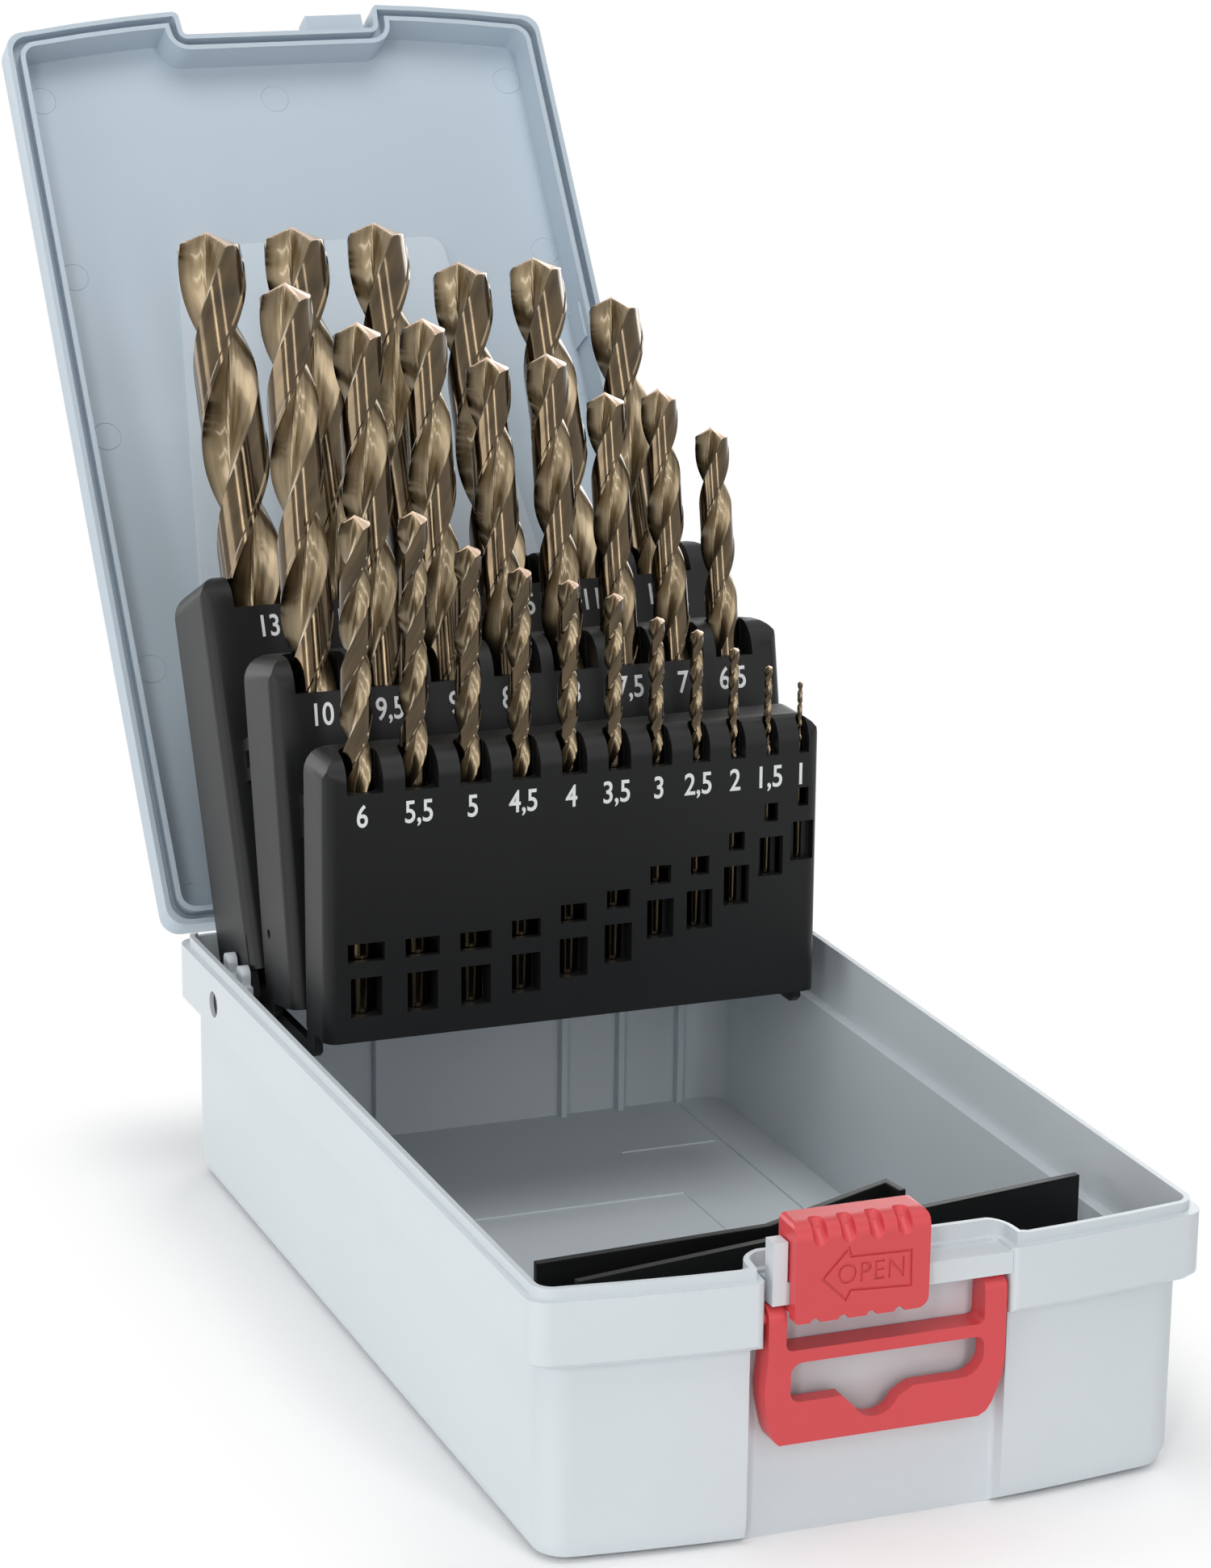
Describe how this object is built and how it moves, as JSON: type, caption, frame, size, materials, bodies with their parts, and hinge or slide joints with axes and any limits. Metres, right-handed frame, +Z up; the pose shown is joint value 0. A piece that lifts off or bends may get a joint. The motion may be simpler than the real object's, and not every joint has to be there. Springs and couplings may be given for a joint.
{
  "type": "drill bit case",
  "caption": "Open plastic drill bit case with a hinged lid, fan-out racks of graded twist drills, a sliding latch and a hanging bail.",
  "frame": {"origin": "centre of the base's flat underside", "axes": "+Z up, -Y towards the latch and bail, +Y towards the hinge, +X to the right seen from the latch"},
  "size_m": [0.1188, 0.3309, 0.2127],
  "materials": {
    "light_grey_plastic": "fine satin moulding",
    "blue_grey_plastic": "satin moulding",
    "red_plastic": "satin moulding",
    "black_plastic": "satin moulding",
    "amber_tool_steel": "ground, amber tempered",
    "pin_steel": "drawn wire"
  },
  "bodies": {
    "base": {"base_shell": "light_grey_plastic", "hinge_pin_left": "pin_steel", "hinge_pin_right": "pin_steel", "rack_pin_left": "black_plastic", "rack_pin_right": "black_plastic", "tip_guard": "black_plastic", "tip_flap": "black_plastic"},
    "lid": {"lid_shell": "blue_grey_plastic"},
    "large_rack": {"rack_large": "black_plastic"},
    "medium_rack": {"rack_medium": "black_plastic"},
    "small_rack": {"rack_small": "black_plastic"},
    "slider": {"latch_slider": "red_plastic"},
    "bail": {"hang_bail": "red_plastic"},
    "bit_13_0": {"bit_13_0": "amber_tool_steel"},
    "bit_12_5": {"bit_12_5": "amber_tool_steel"},
    "bit_12_0": {"bit_12_0": "amber_tool_steel"},
    "bit_11_5": {"bit_11_5": "amber_tool_steel"},
    "bit_11_0": {"bit_11_0": "amber_tool_steel"},
    "bit_10_5": {"bit_10_5": "amber_tool_steel"},
    "bit_10_0": {"bit_10_0": "amber_tool_steel"},
    "bit_9_5": {"bit_9_5": "amber_tool_steel"},
    "bit_9_0": {"bit_9_0": "amber_tool_steel"},
    "bit_8_5": {"bit_8_5": "amber_tool_steel"},
    "bit_8_0": {"bit_8_0": "amber_tool_steel"},
    "bit_7_5": {"bit_7_5": "amber_tool_steel"},
    "bit_7_0": {"bit_7_0": "amber_tool_steel"},
    "bit_6_5": {"bit_6_5": "amber_tool_steel"},
    "bit_6_0": {"bit_6_0": "amber_tool_steel"},
    "bit_5_5": {"bit_5_5": "amber_tool_steel"},
    "bit_5_0": {"bit_5_0": "amber_tool_steel"},
    "bit_4_5": {"bit_4_5": "amber_tool_steel"},
    "bit_4_0": {"bit_4_0": "amber_tool_steel"},
    "bit_3_5": {"bit_3_5": "amber_tool_steel"},
    "bit_3_0": {"bit_3_0": "amber_tool_steel"},
    "bit_2_5": {"bit_2_5": "amber_tool_steel"},
    "bit_2_0": {"bit_2_0": "amber_tool_steel"},
    "bit_1_5": {"bit_1_5": "amber_tool_steel"},
    "bit_1_0": {"bit_1_0": "amber_tool_steel"}
  },
  "joints": [
    {"name": "lid_hinge", "type": "hinge", "parent": "base", "child": "lid", "pos_m": [0, 0.1013, 0.046], "axis": [-1, 0, 0], "range_deg": [-125, 0], "deforming": ["tip_flap"]},
    {"name": "large_rack_pivot", "type": "hinge", "parent": "base", "child": "large_rack", "pos_m": [0, 0.074, 0.041], "axis": [-1, 0, 0], "range_deg": [-114, 0]},
    {"name": "medium_rack_pivot", "type": "hinge", "parent": "base", "child": "medium_rack", "pos_m": [0, 0.074, 0.041], "axis": [-1, 0, 0], "range_deg": [-101.5, 0]},
    {"name": "small_rack_pivot", "type": "hinge", "parent": "base", "child": "small_rack", "pos_m": [0, 0.074, 0.041], "axis": [-1, 0, 0], "range_deg": [-90.5, 0]},
    {"name": "latch_slide", "type": "slide", "parent": "base", "child": "slider", "axis": [-1, 0, 0], "range_m": [-0.0095, 0]},
    {"name": "bail_swing", "type": "hinge", "parent": "base", "child": "bail", "pos_m": [0, -0.1, 0.0396], "axis": [-1, 0, 0], "range_deg": [0, 90]},
    {"name": "bit_13_0_lift", "type": "slide", "parent": "large_rack", "child": "bit_13_0", "axis": [0, 0.4067, 0.9135], "range_m": [0, 0.082]},
    {"name": "bit_12_5_lift", "type": "slide", "parent": "large_rack", "child": "bit_12_5", "axis": [0, 0.4067, 0.9135], "range_m": [0, 0.082]},
    {"name": "bit_12_0_lift", "type": "slide", "parent": "large_rack", "child": "bit_12_0", "axis": [0, 0.4067, 0.9135], "range_m": [0, 0.082]},
    {"name": "bit_11_5_lift", "type": "slide", "parent": "large_rack", "child": "bit_11_5", "axis": [0, 0.4067, 0.9135], "range_m": [0, 0.082]},
    {"name": "bit_11_0_lift", "type": "slide", "parent": "large_rack", "child": "bit_11_0", "axis": [0, 0.4067, 0.9135], "range_m": [0, 0.082]},
    {"name": "bit_10_5_lift", "type": "slide", "parent": "large_rack", "child": "bit_10_5", "axis": [0, 0.4067, 0.9135], "range_m": [0, 0.082]},
    {"name": "bit_10_0_lift", "type": "slide", "parent": "medium_rack", "child": "bit_10_0", "axis": [0, 0.1994, 0.9799], "range_m": [0, 0.0644]},
    {"name": "bit_9_5_lift", "type": "slide", "parent": "medium_rack", "child": "bit_9_5", "axis": [0, 0.1994, 0.9799], "range_m": [0, 0.0644]},
    {"name": "bit_9_0_lift", "type": "slide", "parent": "medium_rack", "child": "bit_9_0", "axis": [0, 0.1994, 0.9799], "range_m": [0, 0.0644]},
    {"name": "bit_8_5_lift", "type": "slide", "parent": "medium_rack", "child": "bit_8_5", "axis": [0, 0.1994, 0.9799], "range_m": [0, 0.0644]},
    {"name": "bit_8_0_lift", "type": "slide", "parent": "medium_rack", "child": "bit_8_0", "axis": [0, 0.1994, 0.9799], "range_m": [0, 0.0644]},
    {"name": "bit_7_5_lift", "type": "slide", "parent": "medium_rack", "child": "bit_7_5", "axis": [0, 0.1994, 0.9799], "range_m": [0, 0.0644]},
    {"name": "bit_7_0_lift", "type": "slide", "parent": "medium_rack", "child": "bit_7_0", "axis": [0, 0.1994, 0.9799], "range_m": [0, 0.0644]},
    {"name": "bit_6_5_lift", "type": "slide", "parent": "medium_rack", "child": "bit_6_5", "axis": [0, 0.1994, 0.9799], "range_m": [0, 0.0644]},
    {"name": "bit_6_0_lift", "type": "slide", "parent": "small_rack", "child": "bit_6_0", "axis": [0, 0.0087, 1], "range_m": [0, 0.0495]},
    {"name": "bit_5_5_lift", "type": "slide", "parent": "small_rack", "child": "bit_5_5", "axis": [0, 0.0087, 1], "range_m": [0, 0.0495]},
    {"name": "bit_5_0_lift", "type": "slide", "parent": "small_rack", "child": "bit_5_0", "axis": [0, 0.0087, 1], "range_m": [0, 0.0495]},
    {"name": "bit_4_5_lift", "type": "slide", "parent": "small_rack", "child": "bit_4_5", "axis": [0, 0.0087, 1], "range_m": [0, 0.0482]},
    {"name": "bit_4_0_lift", "type": "slide", "parent": "small_rack", "child": "bit_4_0", "axis": [0, 0.0087, 1], "range_m": [0, 0.0462]},
    {"name": "bit_3_5_lift", "type": "slide", "parent": "small_rack", "child": "bit_3_5", "axis": [0, 0.0087, 1], "range_m": [0, 0.0444]},
    {"name": "bit_3_0_lift", "type": "slide", "parent": "small_rack", "child": "bit_3_0", "axis": [0, 0.0087, 1], "range_m": [0, 0.0405]},
    {"name": "bit_2_5_lift", "type": "slide", "parent": "small_rack", "child": "bit_2_5", "axis": [0, 0.0087, 1], "range_m": [0, 0.0395]},
    {"name": "bit_2_0_lift", "type": "slide", "parent": "small_rack", "child": "bit_2_0", "axis": [0, 0.0087, 1], "range_m": [0, 0.0355]},
    {"name": "bit_1_5_lift", "type": "slide", "parent": "small_rack", "child": "bit_1_5", "axis": [0, 0.0087, 1], "range_m": [0, 0.0305]},
    {"name": "bit_1_0_lift", "type": "slide", "parent": "small_rack", "child": "bit_1_0", "axis": [0, 0.0087, 1], "range_m": [0, 0.028]}
  ],
  "couplings": [
    {"joint": "large_rack_pivot", "follows": "lid_hinge", "ratio": 0.912},
    {"joint": "medium_rack_pivot", "follows": "lid_hinge", "ratio": 0.812},
    {"joint": "small_rack_pivot", "follows": "lid_hinge", "ratio": 0.724}
  ]
}
